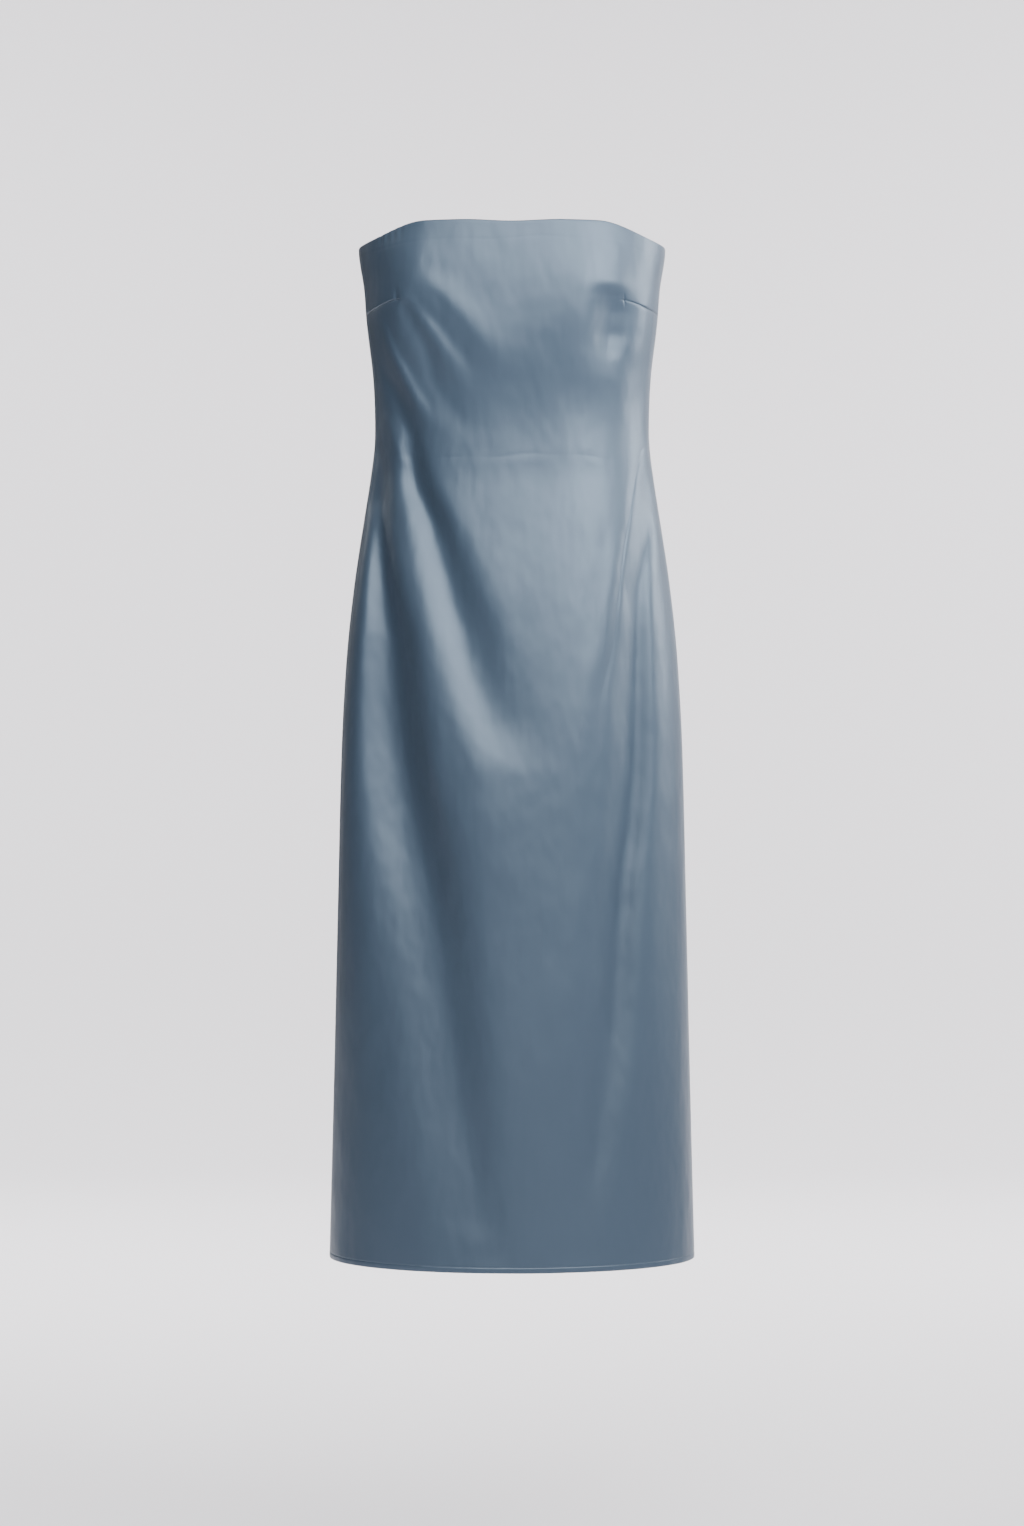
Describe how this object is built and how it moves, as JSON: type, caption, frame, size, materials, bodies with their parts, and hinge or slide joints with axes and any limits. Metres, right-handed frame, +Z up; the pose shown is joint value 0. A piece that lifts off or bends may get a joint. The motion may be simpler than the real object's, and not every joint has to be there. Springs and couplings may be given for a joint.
{
  "type": "strapless dress",
  "caption": "Strapless column dress in satin, hollow and filled out as if worn: side bust darts, soft draped skirt, turned top and hem, concealed back zip with a hanging pull tab.",
  "frame": {"origin": "middle of the ring where the wearer's bust holds the dress, at the height of the upper edge at the side seams", "axes": "+Z up, the front of the dress faces -Y and the back with the zip faces +Y, +X is the wearer's left"},
  "size_m": [0.3648, 0.2378, 1.0221],
  "materials": {
    "satin": "blue-grey satin, soft sheen",
    "zip_tape": "knitted tape, matt",
    "zip_metal": "painted to match the cloth"
  },
  "bodies": {
    "dress": {"front": "satin", "back_left": "satin", "back_right": "satin", "zip_tape_left": "zip_tape", "zip_tape_right": "zip_tape", "zip_slider": "zip_metal"},
    "pull": {"zip_pull": "zip_metal"}
  },
  "joints": [
    {"name": "zip_pull_swing", "type": "hinge", "parent": "dress", "child": "pull", "pos_m": [0, 0.08815, -0.01525], "axis": [1, 0, 0], "range_deg": [0, 150]}
  ]
}
